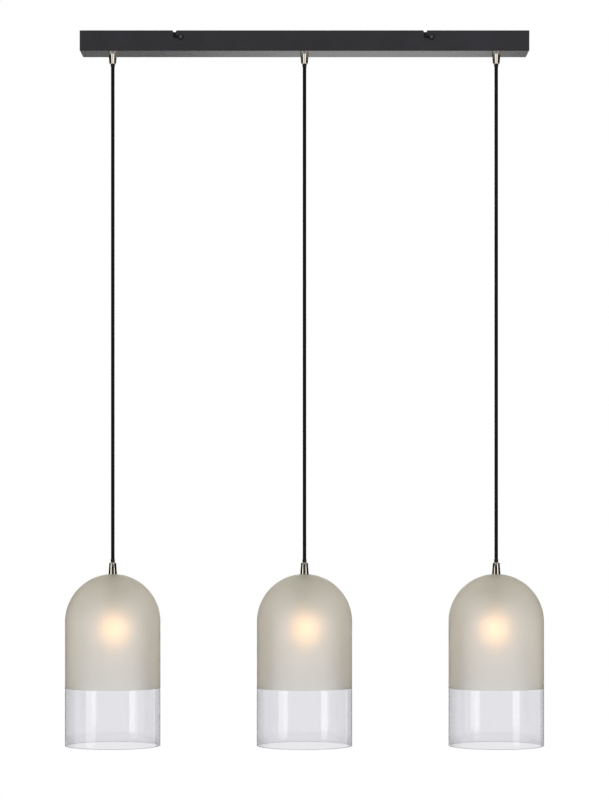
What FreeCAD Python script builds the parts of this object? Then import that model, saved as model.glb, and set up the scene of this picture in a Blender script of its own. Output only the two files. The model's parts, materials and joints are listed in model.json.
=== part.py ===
import FreeCAD, Part
import math
import os
import Sketcher
from FreeCAD import Placement, Rotation, Vector

# Linear island pendant: a sheet-metal ceiling bar that hooks onto a bracket, and three glass bell
# shades that hang from it on straight textile cords.
# Frame: origin in the ceiling plane at the middle of the bar, +Z up, +X along the bar to the right,
# -Y towards the front. All lengths are in millimetres.

sizes = {
    # ceiling bar, an open-topped tray of folded sheet
    "canopyLength": 750.0,
    "canopyWidth": 70.0,
    "canopyHeight": 34.0,
    "sheetThick": 1.2,
    "bendOuter": 1.5,
    "ceilingGap": 0.5,
    "pendantPitch": 322.0,
    # hook slots in the front and rear walls of the bar
    "screwPitch": 418.0,
    "screwShift": 2.7,
    "screwDrop": 10.8,
    "slotWidth": 4.6,
    "slotTravel": 10.4,
    "funnelWidth": 7.0,
    "funnelDepth": 2.0,
    # bracket that is screwed to the ceiling
    "webOverhang": 21.0,
    "bracketWidth": 30.0,
    "bracketThick": 1.5,
    "armWidth": 12.0,
    "earWidth": 28.0,
    "earTop": 3.5,
    "earDepth": 18.0,
    "earCorner": 3.0,
    "bendInner": 1.0,
    "entryHole": 20.0,
    "ceilingScrewPitch": 300.0,
    "ceilingSlotWidth": 5.5,
    "ceilingSlotLength": 20.0,
    # screws in the ears
    "screwShank": 4.0,
    "screwLength": 8.0,
    "screwHead": 9.5,
    "screwHeadHeight": 2.8,
    "crossWidth": 1.0,
    "crossSpan": 4.4,
    "crossDepth": 1.4,
    # clearances
    "movingGap": 0.3,
    "snugGap": 0.1,
    # threaded tubes, their nuts and washers
    "threadOuter": 10.0,
    "threadBore": 7.0,
    "threadHole": 10.5,
    "nutFlats": 14.0,
    "nutThick": 3.0,
    "canopyWasherOuter": 18.0,
    "canopyWasherThick": 1.0,
    "upperNippleProud": 4.0,
    # ferrule under the bar
    "mouthLevel": -51.2,
    "upperFerruleTop": 14.4,
    "upperFerruleWaist": 13.6,
    "waistHeight": 7.5,
    "ferruleMouth": 11.6,
    "mouthRound": 0.9,
    # ball-ended cord grip in the ferrule's mouth
    "ballRadius": 4.95,
    "seatGap": 0.25,
    "pivotDepth": 3.5,
    "mouthBore": 9.5,
    "snoutOuter": 7.1,
    "snoutLength": 5.0,
    "gripBore": 6.3,
    "cordEngage": 2.0,
    # cord
    "cordOuter": 6.0,
    "cordProud": 1.0,
    "leadOuter": 5.0,
    # ferrule on the shade
    "crownLevel": -908.3,
    "lowerFerruleHeight": 19.5,
    "lowerFerruleTop": 11.8,
    "lowerFerruleBase": 14.3,
    "collarProud": 6.0,
    "collarSeat": 4.2,
    "collarFlange": 9.2,
    "collarFlangeThick": 3.0,
    # glass shade
    "shadeOuter": 160.0,
    "shadeHeight": 288.0,
    "glassThick": 3.0,
    "crownFlat": 18.0,
    "innerFlat": 24.0,
    "rimRound": 1.0,
    "sealOuter": 20.0,
    "sealThick": 2.0,
    "clampWasherOuter": 18.0,
    "clampWasherThick": 1.2,
    # lampholder
    "holderOuter": 28.0,
    "holderWall": 1.8,
    "capHeight": 13.0,
    "capShoulder": 5.0,
    "nippleInCap": 9.0,
    "holderHeight": 32.0,
    "holderFloor": 3.0,
    "holderChamber": 5.0,
    "shellInner": 14.0,
    "shellThick": 0.5,
    "shellHeight": 18.0,
    "contactWidth": 5.0,
    # bulb
    "bulbDiameter": 45.0,
    "bulbLength": 82.0,
    "bulbCapOuter": 13.5,
    "bulbCapHeight": 23.0,
    "bulbTipHeight": 1.5,
    "bulbNeck": 24.0,
    "bulbGlass": 0.8,
    "tipGap": 0.3,
    # terminal block, studs and leads inside the bar
    "blockStart": 62.0,
    "blockLength": 50.0,
    "blockWidth": 38.0,
    "blockHeight": 16.0,
    "blockCorner": 1.2,
    "poleSpacing": 12.0,
    "poleWell": 5.8,
    "poleWellDepth": 6.0,
    "poleScrew": 5.2,
    "poleScrewHeight": 4.0,
    "poleInset": 10.0,
    "studDiameter": 4.0,
    "studProud": 1.0,
    "earthStudPlace": -70.0,
    "earthStudAlong": 17.5,
    "earthStudHeight": 12.0,
    "studNutFlats": 7.0,
    "studNutThick": 3.2,
    "studWasherOuter": 9.0,
    "studWasherThick": 0.8,
    "leadLevel": 6.3,
    "leadRise": 8.5,
    "leadBend": 9.0,
    "leadTopRun": 20.0,
    "leadDrop": 28.0,
}

doc = FreeCAD.newDocument("LinearPendant")
sheet = doc.addObject("Spreadsheet::Sheet", "sheet")
for row, (alias, number) in enumerate(sizes.items(), start=1):
    sheet.set("A%d" % row, alias)
    sheet.set("B%d" % row, str(number))
    sheet.setAlias("B%d" % row, alias)
doc.recompute()


def value(formula):
    result = sheet.evalExpression(formula)
    return float(getattr(result, "Value", result))


def s(formula):
    # every word in a formula is the alias of a cell of the sheet
    out = ""
    word = ""
    for letter in formula + " ":
        if letter.isalpha():
            word += letter
            continue
        if word:
            out += word if word in ("sqrt", "min") else "sheet." + word
        word = ""
        out += letter
    return "(" + out.strip() + ")"


# levels, all measured along Z
canopyTop = s("-ceilingGap")
canopyBottom = s("-ceilingGap - canopyHeight")
canopyFloor = s("-ceilingGap - canopyHeight + sheetThick")
screwLevel = s("-ceilingGap - screwDrop")
pivotLevel = s("mouthLevel + pivotDepth")
snoutBottom = s("mouthLevel - snoutLength")
cordTop = s("mouthLevel - snoutLength + cordEngage")
sidePivotLevel = s("mouthLevel - snoutLength + cordEngage / 2")
seatRadius = s("ballRadius + seatGap")
upperNippleBottom = (pivotLevel + " + sqrt(" + seatRadius + " ^ 2 - " + s("threadBore / 2") + " ^ 2)"
                     + " + " + s("movingGap"))
leadBottom = s("mouthLevel + pivotDepth + ballRadius + seatGap")
washerTop = canopyFloor + " + " + s("canopyWasherThick")
upperNutTop = washerTop + " + " + s("nutThick")
upperNippleTop = upperNutTop + " + " + s("upperNippleProud")
ferruleTop = s("crownLevel + lowerFerruleHeight")
shoulderLevel = s("crownLevel + lowerFerruleHeight - collarSeat")
collarBottom = s("crownLevel + lowerFerruleHeight - collarSeat - collarFlangeThick")
collarTop = s("crownLevel + lowerFerruleHeight + collarProud")
domeCentre = s("crownLevel - sqrt((shadeOuter / 2) ^ 2 - (crownFlat / 2) ^ 2)")
domeInner = s("shadeOuter / 2 - glassThick")
rimLevel = s("crownLevel - shadeHeight")
innerCrown = domeCentre + " + sqrt(" + domeInner + " ^ 2 - " + s("innerFlat / 2") + " ^ 2)"
sealBottom = innerCrown + " - " + s("sealThick")
clampBottom = sealBottom + " - " + s("clampWasherThick")
nutBottom = clampBottom + " - " + s("nutThick")
capTop = nutBottom + " - " + s("tipGap")
capBottom = capTop + " - " + s("capHeight")
lowerNippleBottom = capTop + " - " + s("nippleInCap")
cordBottom = lowerNippleBottom + " - " + s("cordProud")
holderBottom = capBottom + " - " + s("holderHeight")
socketTop = capBottom + " - " + s("holderChamber + holderFloor")
bulbTop = socketTop + " - " + s("bulbTipHeight + tipGap")
bulbBottom = bulbTop + " - " + s("bulbLength")
globeCentre = bulbBottom + " + " + s("bulbDiameter / 2")
bulbCapBottom = bulbTop + " - " + s("bulbCapHeight")

pendants = {
    "left": s("-pendantPitch"),
    "middle": "0",
    "right": s("pendantPitch"),
}
blockMiddle = s("blockStart + blockLength / 2")
screwPlaces = {
    "left": s("screwShift - screwPitch / 2"),
    "right": s("screwShift + screwPitch / 2"),
}


def place(thing, across="0", along="0", up="0"):
    thing.setExpression("Placement.Base.x", across)
    thing.setExpression("Placement.Base.y", along)
    thing.setExpression("Placement.Base.z", up)


def plane(body, role):
    found = [feature for feature in body.Origin.OriginFeatures if feature.Role == role]
    return found[0]


def draw(body, name, role, outlines, circles=(), offset=None):
    # outlines are loops of corners (across, up), or (across, up, centre across, centre up, turn)
    # where an arc leaves the corner; turn is 1 anticlockwise and -1 clockwise
    sketch = body.newObject("Sketcher::SketchObject", name)
    sketch.AttachmentSupport = [(plane(body, role), "")]
    sketch.MapMode = "FlatFace"
    if offset:
        sketch.setExpression("AttachmentOffset.Base.z", offset)
    for corners in outlines:
        first = sketch.GeometryCount
        ends = []
        for index, corner in enumerate(corners):
            following = corners[(index + 1) % len(corners)]
            start = Vector(value(corner[0]), value(corner[1]), 0)
            end = Vector(value(following[0]), value(following[1]), 0)
            if len(corner) == 2:
                sketch.addGeometry(Part.LineSegment(start, end), False)
                ends.append((1, 2))
                continue
            centre = Vector(value(corner[2]), value(corner[3]), 0)
            circle = Part.Circle(centre, Vector(0, 0, 1), start.distanceToPoint(centre))
            fromAngle = math.atan2(start.y - centre.y, start.x - centre.x)
            toAngle = math.atan2(end.y - centre.y, end.x - centre.x)
            if corner[4] > 0:
                sketch.addGeometry(Part.ArcOfCircle(circle, fromAngle, toAngle), False)
                ends.append((1, 2))
            else:
                sketch.addGeometry(Part.ArcOfCircle(circle, toAngle, fromAngle), False)
                ends.append((2, 1))
        for index, corner in enumerate(corners):
            edge = first + index
            previous = first + (index - 1) % len(corners)
            before = ends[(index - 1) % len(corners)][1]
            here = ends[index][0]
            sketch.addConstraint(Sketcher.Constraint("Coincident", previous, before, edge, here))
            hold(sketch, "DistanceX", edge, here, corner[0])
            hold(sketch, "DistanceY", edge, here, corner[1])
            if len(corner) == 5:
                following = corners[(index + 1) % len(corners)]
                run = abs(value(following[0]) - value(corner[0]))
                rise = abs(value(following[1]) - value(corner[1]))
                if run > rise:
                    hold(sketch, "DistanceY", edge, 3, corner[3])
                else:
                    hold(sketch, "DistanceX", edge, 3, corner[2])
    for across, up, radius in circles:
        centre = Vector(value(across), value(up), 0)
        number = sketch.addGeometry(Part.Circle(centre, Vector(0, 0, 1), value(radius)), False)
        hold(sketch, "DistanceX", number, 3, across)
        hold(sketch, "DistanceY", number, 3, up)
        index = sketch.addConstraint(Sketcher.Constraint("Radius", number, value(radius)))
        sketch.setExpression("Constraints[%d]" % index, radius)
    return sketch


def hold(sketch, kind, edge, point, formula):
    constraint = Sketcher.Constraint(kind, -1, 1, edge, point, value(formula))
    index = sketch.addConstraint(constraint)
    sketch.setExpression("Constraints[%d]" % index, formula)


def newBody(label):
    body = doc.addObject("PartDesign::Body", label)
    body.Label = label
    return body


def pad(body, sketch, length, downward=False, centred=False):
    feature = body.newObject("PartDesign::Pad", "pad")
    feature.Profile = sketch
    feature.setExpression("Length", length)
    feature.Reversed = downward
    feature.Midplane = centred
    return feature


def pocket(body, sketch, length=None, upward=False):
    # without a length the cut runs through everything, both ways
    feature = body.newObject("PartDesign::Pocket", "pocket")
    feature.Profile = sketch
    if length:
        feature.setExpression("Length", length)
        feature.Reversed = upward
    else:
        feature.Type = "ThroughAll"
        feature.Midplane = True
    return feature


def roundEdges(body, radius, test):
    # rounds the edges of the body's last feature that pass the test
    doc.recompute()
    base = body.Tip
    names = []
    for number, edge in enumerate(base.Shape.Edges, start=1):
        if test(edge):
            names.append("Edge%d" % number)
    feature = body.newObject("PartDesign::Fillet", "rounding")
    feature.Base = (base, names)
    feature.setExpression("Radius", radius)
    return feature


def turned(label, corners, across="0", along="0", up="0"):
    # a piece of revolution about its own Z axis
    body = newBody(label)
    sketch = draw(body, "profile", "XZ_Plane", [corners])
    feature = body.newObject("PartDesign::Revolution", "revolution")
    feature.Profile = sketch
    feature.ReferenceAxis = (sketch, ["V_Axis"])
    feature.Angle = 360.0
    place(body, across, along, up)
    return body


def ring(label, outer, inner, bottom, top, across="0"):
    # a plain tube: outer and inner are diameters
    corners = [
        (outer + " / 2", bottom),
        (outer + " / 2", top),
        (inner + " / 2", top),
        (inner + " / 2", bottom),
    ]
    return turned(label, corners, across)


def hexNut(label, flats, bore, bottom, thick, across="0", along="0"):
    blank = doc.addObject("Part::Prism", label + "_blank")
    blank.Polygon = 6
    blank.setExpression("Circumradius", flats + " / (2 * cos(30))")
    blank.setExpression("Height", thick)
    hole = doc.addObject("Part::Cylinder", label + "_hole")
    hole.setExpression("Radius", bore + " / 2")
    hole.setExpression("Height", thick)
    nut = doc.addObject("Part::Cut", label)
    nut.Label = label
    nut.Base = blank
    nut.Tool = hole
    place(nut, across, along, bottom)
    return nut


def group(label, pieces):
    compound = doc.addObject("Part::Compound", label)
    compound.Label = label
    compound.Links = pieces
    return compound


def isUpright(edge):
    ends = [vertex.Point for vertex in edge.Vertexes]
    return len(ends) == 2 and (ends[0] - ends[1]).cross(Vector(0, 0, 1)).Length < 1e-6


def box(left, right, low, high):
    return [(left, low), (right, low), (right, high), (left, high)]


def makeBracket():
    body = newBody("ceiling_bracket")
    halfLength = s("screwPitch / 2 + webOverhang")
    halfWidth = s("bracketWidth / 2")
    webSketch = draw(body, "webOutline", "XY_Plane", [
        box("-" + halfLength, halfLength, "-" + halfWidth, halfWidth)])
    pad(body, webSketch, s("bracketThick"), downward=True)
    outside = s("canopyWidth / 2 - sheetThick - movingGap")
    inside = s("canopyWidth / 2 - sheetThick - movingGap - bracketThick")
    under = s("-bracketThick")
    bendOut = s("bendInner + bracketThick")
    bendIn = s("bendInner")
    strapEnd = s("-earTop - bracketThick")
    # the strap over the web, bent down at both walls of the bar
    strap = [
        ("-" + outside, strapEnd),
        ("-" + outside, "-" + bendOut, "-" + outside + " + " + bendOut, "-" + bendOut, -1),
        ("-" + outside + " + " + bendOut, "0"),
        (outside + " - " + bendOut, "0", outside + " - " + bendOut, "-" + bendOut, -1),
        (outside, "-" + bendOut),
        (outside, strapEnd),
        (inside, strapEnd),
        (inside, under + " - " + bendIn, inside + " - " + bendIn, under + " - " + bendIn, 1),
        (inside + " - " + bendIn, under),
        ("-" + inside + " + " + bendIn, under,
         "-" + inside + " + " + bendIn, under + " - " + bendIn, 1),
        ("-" + inside, under + " - " + bendIn),
        ("-" + inside, strapEnd),
    ]
    earHalf = s("earWidth / 2")
    earLow = s("-earDepth")
    corner = s("earCorner")
    earPads = []
    for side, across in screwPlaces.items():
        strapSketch = draw(body, "strap_" + side, "YZ_Plane", [strap], offset=across)
        pad(body, strapSketch, s("armWidth"), centred=True)
        ear = [
            (across + " - " + earHalf, s("-earTop")),
            (across + " - " + earHalf, earLow + " + " + corner,
             across + " - " + earHalf + " + " + corner, earLow + " + " + corner, 1),
            (across + " - " + earHalf + " + " + corner, earLow),
            (across + " + " + earHalf + " - " + corner, earLow,
             across + " + " + earHalf + " - " + corner, earLow + " + " + corner, 1),
            (across + " + " + earHalf, earLow + " + " + corner),
            (across + " + " + earHalf, s("-earTop")),
        ]
        earSketch = draw(body, "ear_" + side, "XZ_Plane", [ear], offset=outside)
        earPads.append(pad(body, earSketch, s("bracketThick"), downward=True))
    doc.recompute()
    mirrored = body.newObject("PartDesign::Mirrored", "rearEars")
    mirrored.Originals = earPads
    mirrored.MirrorPlane = (plane(body, "XZ_Plane"), [""])
    body.Tip = mirrored
    doc.recompute()
    bores = [(across, screwLevel, s("screwShank / 2 + snugGap / 2"))
             for across in screwPlaces.values()]
    boreSketch = draw(body, "earBores", "XZ_Plane", [], circles=bores)
    pocket(body, boreSketch)
    half = s("ceilingSlotWidth / 2")
    reach = s("ceilingSlotLength / 2 - ceilingSlotWidth / 2")
    slots = []
    for centre in (s("-ceilingScrewPitch / 2"), s("ceilingScrewPitch / 2")):
        slots.append([
            (centre + " - " + reach, "-" + half),
            (centre + " + " + reach, "-" + half, centre + " + " + reach, "0", 1),
            (centre + " + " + reach, half),
            (centre + " - " + reach, half, centre + " - " + reach, "0", 1),
        ])
    holeSketch = draw(body, "webHoles", "XY_Plane", slots, circles=[("0", "0", s("entryHole / 2"))])
    pocket(body, holeSketch)
    return body


def makeSideScrews():
    # button-headed screws in the four ears, each modelled head up and laid over
    screws = []
    seat = s("canopyWidth / 2 + movingGap")
    headRound = s("screwHeadHeight * 0.75")
    for side, across in screwPlaces.items():
        for face, angle, sign in (("front", 90, "-"), ("rear", -90, "")):
            body = newBody("side_screw_%s_%s" % (face, side))
            profile = [
                ("0", s("-screwLength")),
                (s("screwShank / 2"), s("-screwLength")),
                (s("screwShank / 2"), "0"),
                (s("screwHead / 2"), "0"),
                (s("screwHead / 2"), s("screwHeadHeight") + " - " + headRound,
                 s("screwHead / 2") + " - " + headRound, s("screwHeadHeight") + " - " + headRound, 1),
                (s("screwHead / 2") + " - " + headRound, s("screwHeadHeight")),
                ("0", s("screwHeadHeight")),
            ]
            sketch = draw(body, "profile", "XZ_Plane", [profile])
            turn = body.newObject("PartDesign::Revolution", "revolution")
            turn.Profile = sketch
            turn.ReferenceAxis = (sketch, ["V_Axis"])
            turn.Angle = 360.0
            doc.recompute()
            arm = s("crossSpan / 2")
            slim = s("crossWidth / 2")
            cross = [
                ("-" + arm, "-" + slim), ("-" + slim, "-" + slim), ("-" + slim, "-" + arm),
                (slim, "-" + arm), (slim, "-" + slim), (arm, "-" + slim),
                (arm, slim), (slim, slim), (slim, arm),
                ("-" + slim, arm), ("-" + slim, slim), ("-" + arm, slim),
            ]
            crossSketch = draw(body, "cross", "XY_Plane", [cross], offset=s("screwHeadHeight"))
            pocket(body, crossSketch, s("crossDepth"))
            body.Placement = Placement(Vector(0, 0, 0), Rotation(Vector(1, 0, 0), angle))
            place(body, across, sign + seat, screwLevel)
            screws.append(body)
    return group("side_screws", screws)


def makeCanopy():
    body = newBody("canopy")
    halfLength = s("canopyLength / 2")
    halfWidth = s("canopyWidth / 2")
    wall = s("sheetThick")
    outer = draw(body, "outline", "XY_Plane", [
        box("-" + halfLength, halfLength, "-" + halfWidth, halfWidth)], offset=canopyBottom)
    pad(body, outer, s("canopyHeight"))
    low = value(canopyBottom)
    roundEdges(body, s("bendOuter"), lambda edge: isUpright(edge) or edge.BoundBox.ZMax < low + 1e-4)
    inner = draw(body, "hollow", "XY_Plane", [
        box("-" + halfLength + " + " + wall, halfLength + " - " + wall,
            "-" + halfWidth + " + " + wall, halfWidth + " - " + wall)], offset=canopyTop)
    pocket(body, inner, s("canopyHeight - sheetThick"))
    half = s("slotWidth / 2")
    mouth = s("funnelWidth / 2")
    slots = []
    for across in screwPlaces.values():
        entry = across + " - " + s("slotTravel")
        slots.append([
            (entry + " - " + mouth, canopyTop + " + " + s("funnelDepth")),
            (entry + " - " + mouth, canopyTop),
            (entry + " - " + half, canopyTop + " - " + s("funnelDepth")),
            (entry + " - " + half, screwLevel, entry, screwLevel, 1),
            (entry, screwLevel + " - " + half),
            (across, screwLevel + " - " + half, across, screwLevel, 1),
            (across, screwLevel + " + " + half),
            (entry + " + " + half, screwLevel + " + " + half),
            (entry + " + " + half, canopyTop + " - " + s("funnelDepth")),
            (entry + " + " + mouth, canopyTop),
            (entry + " + " + mouth, canopyTop + " + " + s("funnelDepth")),
        ])
    pocket(body, draw(body, "hookSlots", "XZ_Plane", slots))
    holes = [(across, "0", s("threadHole / 2")) for across in pendants.values()]
    holeSketch = draw(body, "nippleHoles", "XY_Plane", [], circles=holes, offset=canopyFloor)
    pocket(body, holeSketch, s("sheetThick * 2"))
    # welded studs on the floor: one through the terminal block and one for the earth wire
    blockStud = draw(body, "blockStud", "XY_Plane", [], offset=canopyFloor,
                     circles=[(blockMiddle, "0", s("studDiameter / 2"))])
    pad(body, blockStud, s("blockHeight - poleWellDepth + studWasherThick + studNutThick + studProud"))
    earthStud = draw(body, "earthStud", "XY_Plane", [], offset=canopyFloor,
                     circles=[(s("earthStudPlace"), s("earthStudAlong"), s("studDiameter / 2"))])
    pad(body, earthStud, s("earthStudHeight"))
    return body


def makeTerminalBlock():
    body = newBody("terminal_block")
    halfWidth = s("blockWidth / 2")
    outline = draw(body, "outline", "XY_Plane", [
        box(s("blockStart"), s("blockStart + blockLength"), "-" + halfWidth, halfWidth)],
        offset=canopyFloor)
    pad(body, outline, s("blockHeight"))
    roundEdges(body, s("blockCorner"), isUpright)
    wells = [(across, along, s("poleWell / 2")) for across, along in polePlaces()]
    wellSketch = draw(body, "screwWells", "XY_Plane", [], circles=wells,
                      offset=canopyFloor + " + " + s("blockHeight"))
    pocket(body, wellSketch, s("poleWellDepth"))
    studWell = draw(body, "studWell", "XY_Plane", [], offset=canopyFloor + " + " + s("blockHeight"),
                    circles=[(blockMiddle, "0", s("studWasherOuter / 2 + snugGap"))])
    pocket(body, studWell, s("poleWellDepth"))
    studHole = draw(body, "studHole", "XY_Plane", [], offset=canopyFloor + " + " + s("blockHeight"),
                    circles=[(blockMiddle, "0", s("studDiameter / 2 + snugGap"))])
    pocket(body, studHole, s("blockHeight"))
    return body


def polePlaces():
    ends = (s("blockStart + poleInset"), s("blockStart + blockLength - poleInset"))
    rows = (s("-poleSpacing"), "0", s("poleSpacing"))
    return [(across, along) for across in ends for along in rows]


def makeTerminalScrews():
    screws = []
    bottom = canopyFloor + " + " + s("blockHeight - poleWellDepth")
    for number, (across, along) in enumerate(polePlaces(), start=1):
        body = newBody("terminal_screw_%d" % number)
        face = draw(body, "head", "XY_Plane", [], circles=[("0", "0", s("poleScrew / 2"))])
        pad(body, face, s("poleScrewHeight"))
        half = s("poleScrew / 2")
        slit = draw(body, "slit", "XY_Plane", [
            box("-" + half, half, s("-crossWidth / 2"), s("crossWidth / 2"))],
            offset=s("poleScrewHeight"))
        pocket(body, slit, s("crossDepth"))
        place(body, across, along, bottom)
        screws.append(body)
    return group("terminal_screws", screws)


def makeStudFasteners():
    blockSeat = canopyFloor + " + " + s("blockHeight - poleWellDepth")
    seats = {
        "block": (blockMiddle, "0", blockSeat),
        "earth": (s("earthStudPlace"), s("earthStudAlong"), canopyFloor),
    }
    bore = s("studDiameter + snugGap")
    nuts = []
    washers = []
    for name, (across, along, seat) in seats.items():
        washer = turned("stud_washer_" + name, [
            (s("studWasherOuter / 2"), "0"),
            (s("studWasherOuter / 2"), s("studWasherThick")),
            (bore + " / 2", s("studWasherThick")),
            (bore + " / 2", "0"),
        ], across, along, seat)
        washers.append(washer)
        nuts.append(hexNut("stud_nut_" + name, s("studNutFlats"), bore,
                           seat + " + " + s("studWasherThick"), s("studNutThick"), across, along))
    return [group("stud_nuts", nuts), group("stud_washers", washers)]


def makeCanopyFasteners():
    nipples = []
    nuts = []
    washers = []
    bore = s("threadOuter + snugGap")
    for side, across in pendants.items():
        nipples.append(ring("upper_nipple_" + side, s("threadOuter"), s("threadBore"),
                            upperNippleBottom, upperNippleTop, across))
        nuts.append(hexNut("nipple_nut_" + side, s("nutFlats"), bore, washerTop, s("nutThick"), across))
        washers.append(ring("nipple_washer_" + side, s("canopyWasherOuter"), bore,
                            canopyFloor, washerTop, across))
    return [group("upper_nipples", nipples), group("nipple_nuts", nuts),
            group("nipple_washers", washers)]


def makeUpperFerrule(side, across):
    # a tapered cup whose spherical seat holds the grip's ball above a flared mouth
    threadWall = s("threadOuter / 2 + snugGap / 2")
    seatEdge = "sqrt(" + seatRadius + " ^ 2 - " + s("mouthBore / 2") + " ^ 2)"
    seatShoulder = pivotLevel
    mouthOuter = s("ferruleMouth / 2")
    curve = s("min(mouthRound; (ferruleMouth - mouthBore) / 2 - snugGap)")
    corners = [
        (s("mouthBore / 2"), s("mouthLevel")),
        (mouthOuter + " - " + curve, s("mouthLevel"),
         mouthOuter + " - " + curve, s("mouthLevel") + " + " + curve, 1),
        (mouthOuter, s("mouthLevel") + " + " + curve),
        (s("upperFerruleWaist / 2"), canopyBottom + " - " + s("waistHeight")),
        (s("upperFerruleTop / 2"), canopyBottom),
        (threadWall, canopyBottom),
        (threadWall, upperNippleBottom),
        (seatRadius, upperNippleBottom),
        (seatRadius, seatShoulder, "0", pivotLevel, -1),
        (s("mouthBore / 2"), pivotLevel + " - " + seatEdge),
    ]
    return turned("upper_ferrule_" + side, corners, across)


def makeGrip(side, across):
    # a ball with a snout below it; the cord starts inside the end of the snout
    snout = s("snoutOuter / 2")
    bore = s("gripBore / 2")
    ballEnd = pivotLevel + " - sqrt(" + s("ballRadius") + " ^ 2 - " + snout + " ^ 2)"
    ballTop = pivotLevel + " + sqrt(" + s("ballRadius") + " ^ 2 - " + snout + " ^ 2)"
    corners = [
        (bore, snoutBottom),
        (snout, snoutBottom),
        (snout, ballEnd, "0", pivotLevel, 1),
        (snout, ballTop),
        (bore, ballTop),
    ]
    return turned("cord_grip_" + side, corners, across)


def makeCord(side, across):
    cord = doc.addObject("Part::Cylinder", "cord_" + side)
    cord.Label = "cord_" + side
    cord.setExpression("Radius", s("cordOuter / 2"))
    cord.setExpression("Height", cordTop + " - (" + cordBottom + ")")
    place(cord, across, "0", cordBottom)
    return cord


def makeLowerCollar(side, across):
    bore = s("cordOuter / 2 + snugGap / 2")
    outer = s("snoutOuter / 2")
    flange = s("collarFlange / 2")
    corners = [
        (bore, collarBottom),
        (flange, collarBottom),
        (flange, shoulderLevel),
        (outer, shoulderLevel),
        (outer, collarTop),
        (bore, collarTop),
    ]
    return turned("lower_collar_" + side, corners, across)


def makeLowerFerrule(side, across):
    threadWall = s("threadOuter / 2 + snugGap / 2")
    neck = s("snoutOuter / 2 + snugGap / 2")
    top = s("lowerFerruleTop / 2")
    curve = s("mouthRound / 2")
    corners = [
        (threadWall, s("crownLevel")),
        (s("lowerFerruleBase / 2"), s("crownLevel")),
        (top, ferruleTop + " - " + curve, top + " - " + curve, ferruleTop + " - " + curve, 1),
        (top + " - " + curve, ferruleTop),
        (neck, ferruleTop),
        (neck, shoulderLevel),
        (threadWall, shoulderLevel),
    ]
    return turned("lower_ferrule_" + side, corners, across)


def makeShade(side, across):
    # blown bell: a hemisphere that runs into a straight cylinder, flat at the crown's hole
    outer = s("shadeOuter / 2")
    inner = domeInner
    curve = s("rimRound")
    corners = [
        (s("threadHole / 2"), innerCrown),
        (s("innerFlat / 2"), innerCrown, "0", domeCentre, -1),
        (inner, domeCentre),
        (inner, rimLevel + " + " + curve, inner + " + " + curve, rimLevel + " + " + curve, 1),
        (inner + " + " + curve, rimLevel),
        (outer + " - " + curve, rimLevel, outer + " - " + curve, rimLevel + " + " + curve, 1),
        (outer, rimLevel + " + " + curve),
        (outer, domeCentre, "0", domeCentre, 1),
        (s("crownFlat / 2"), s("crownLevel")),
        (s("threadHole / 2"), s("crownLevel")),
    ]
    return turned("shade_" + side, corners, across)


def makeHolderCap(side, across):
    # bell-shaped cap with a hub that screws onto the threaded tube
    outer = s("holderOuter / 2")
    inner = s("holderOuter / 2 - holderWall")
    threadWall = s("threadOuter / 2 + snugGap / 2")
    hub = s("threadOuter / 2 + holderWall")
    shoulder = capTop + " - " + s("capShoulder")
    corners = [
        (threadWall, capTop),
        (threadWall, lowerNippleBottom),
        (hub, lowerNippleBottom),
        (hub, capTop + " - " + s("holderWall")),
        (outer + " - " + s("capShoulder"), capTop + " - " + s("holderWall")),
        (inner, shoulder + " - " + s("holderWall")),
        (inner, capBottom),
        (outer, capBottom),
        (outer, shoulder, outer + " - " + s("capShoulder"), shoulder, 1),
        (outer + " - " + s("capShoulder"), capTop),
    ]
    return turned("holder_cap_" + side, corners, across)


def makeHolderBody(side, across):
    outer = s("holderOuter / 2")
    chamber = s("holderOuter / 2 - holderWall")
    bore = s("shellInner / 2 + shellThick")
    floorTop = capBottom + " - " + s("holderChamber")
    lip = s("holderWall / 2")
    corners = [
        ("0", floorTop),
        (chamber, floorTop),
        (chamber, capBottom),
        (outer, capBottom),
        (outer, holderBottom + " + " + lip),
        (outer + " - " + lip, holderBottom),
        (bore, holderBottom),
        (bore, socketTop),
        ("0", socketTop),
    ]
    return turned("holder_body_" + side, corners, across)


def makeHolderContacts(side, across):
    shell = ring("holder_shell_" + side, s("shellInner + 2 * shellThick"), s("shellInner"),
                 holderBottom + " + " + s("holderWall"),
                 holderBottom + " + " + s("holderWall + shellHeight"), across)
    tongue = turned("holder_tongue_" + side, [
        ("0", socketTop + " - " + s("tipGap")),
        (s("contactWidth / 2"), socketTop + " - " + s("tipGap")),
        (s("contactWidth / 2"), socketTop),
        ("0", socketTop),
    ], across)
    return group("holder_contacts_" + side, [shell, tongue])


def makeBulbCap(side, across):
    outer = s("bulbCapOuter / 2")
    insulator = bulbTop + " - " + s("bulbTipHeight")
    tip = s("contactWidth / 2")
    corners = [
        ("0", bulbTop),
        ("0", bulbCapBottom),
        (outer, bulbCapBottom),
        (outer, insulator + " - " + s("bulbTipHeight")),
        (tip, insulator),
        (tip, bulbTop),
    ]
    return turned("bulb_cap_" + side, corners, across)


def makeBulbGlobe(side, across):
    # thin glass: a ball below a conical neck, closed by the metal cap
    outer = s("bulbDiameter / 2")
    inner = s("bulbDiameter / 2 - bulbGlass")
    neck = s("bulbNeck / 2")
    innerNeck = s("bulbNeck / 2 - bulbGlass")
    collar = s("bulbCapOuter / 2")
    collarInner = s("bulbCapOuter / 2 - bulbGlass")
    corners = [
        (collarInner, bulbCapBottom),
        (collar, bulbCapBottom),
        (neck, globeCentre + " + sqrt(" + outer + " ^ 2 - " + neck + " ^ 2)", "0", globeCentre, -1),
        ("0", bulbBottom),
        ("0", bulbBottom + " + " + s("bulbGlass"), "0", globeCentre, 1),
        (innerNeck, globeCentre + " + sqrt(" + inner + " ^ 2 - " + innerNeck + " ^ 2)"),
    ]
    return turned("bulb_globe_" + side, corners, across)


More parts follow.
